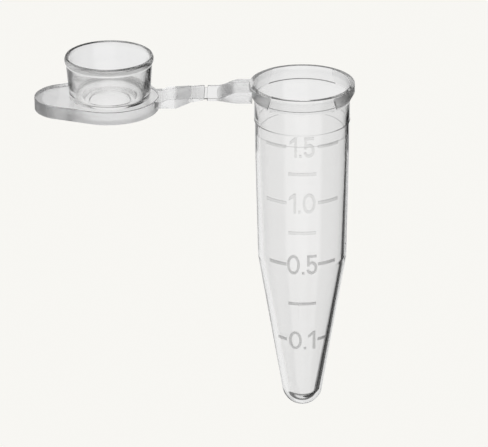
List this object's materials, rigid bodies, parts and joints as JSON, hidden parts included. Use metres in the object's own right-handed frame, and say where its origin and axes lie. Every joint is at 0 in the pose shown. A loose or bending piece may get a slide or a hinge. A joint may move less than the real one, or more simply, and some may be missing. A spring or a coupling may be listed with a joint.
{
  "type": "microcentrifuge tube",
  "caption": "Clear conical sample tube with a collar, raised volume scale and a snap lid with a sealing plug, joined by a strap with a living hinge.",
  "frame": {"origin": "on the tube's axis, at the foot of the collar, where the tube hangs in a rack", "axes": "+Z along the tube's axis out of its mouth, -X along the strap towards the open lid"},
  "size_m": [0.0365, 0.012, 0.0435],
  "materials": {
    "clear_wall": "clear natural polypropylene, polished mould",
    "clear_lid": "clear natural polypropylene, polished mould, fine matt top",
    "clear_strap": "clear natural polypropylene, polished mould",
    "raised_marks": "raised and frosted natural polypropylene"
  },
  "bodies": {
    "tube": {"mouth_rim": "clear_wall", "hinge_side_collar_lug": "clear_wall", "thumb_side_collar_lug": "clear_wall", "seat_wall": "clear_wall", "barrel_wall": "clear_wall", "cone_wall": "clear_wall", "round_tip": "clear_wall", "tube_strap_root": "clear_strap", "tube_strap": "clear_strap", "film_hinge": "clear_strap", "numeral_1_5": "raised_marks", "scale_line_1_5": "raised_marks", "scale_line_1_25": "raised_marks", "numeral_1_0": "raised_marks", "scale_line_1_0": "raised_marks", "scale_line_0_75": "raised_marks", "numeral_0_5": "raised_marks", "scale_line_0_5": "raised_marks", "scale_line_0_25": "raised_marks", "numeral_0_1": "raised_marks", "scale_line_0_1": "raised_marks"},
    "lid": {"lid_strap": "clear_strap", "lid_strap_root": "clear_strap", "lid_plate": "clear_lid", "lid_centre_disc": "clear_lid", "thumb_tab": "clear_lid", "plug_skirt": "clear_lid", "plug_sealing_lip": "clear_lid"}
  },
  "joints": [
    {"name": "lid_hinge", "type": "hinge", "parent": "tube", "child": "lid", "pos_m": [-0.01095, 0, 0.00128], "axis": [0, 1, 0], "range_deg": [-15, 180], "stiffness_Nm_per_rad": 0.002}
  ]
}
